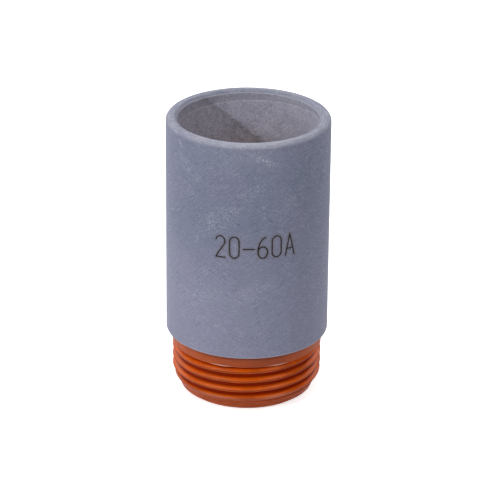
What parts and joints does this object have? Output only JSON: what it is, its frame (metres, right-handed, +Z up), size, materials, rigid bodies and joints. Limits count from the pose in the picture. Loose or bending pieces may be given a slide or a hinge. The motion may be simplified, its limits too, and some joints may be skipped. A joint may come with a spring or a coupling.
{
  "type": "plasma torch retaining cap",
  "caption": "Round retaining cap of a hand plasma torch: open insulating sleeve, brass liner for torch and nozzle, plastic nose with an outside thread for the shield.",
  "frame": {"origin": "centre of the nose's flat end face, on which the cap stands", "axes": "+Z up the cap's axis towards its open mouth, -Y towards the side that carries the marking"},
  "size_m": [0.03, 0.03, 0.0535],
  "materials": {
    "sleeve_composite": "turned blue-grey fibre-filled composite, matte, finely speckled and scuffed",
    "nose_plastic": "orange-brown heat-proof plastic, matte on turned lands, satin in the thread",
    "liner_brass": "turned brass, satin"
  },
  "bodies": {
    "root": {"outer_sleeve": "sleeve_composite", "shield_thread_nose": "nose_plastic", "torch_thread_liner": "liner_brass"}
  },
  "joints": []
}
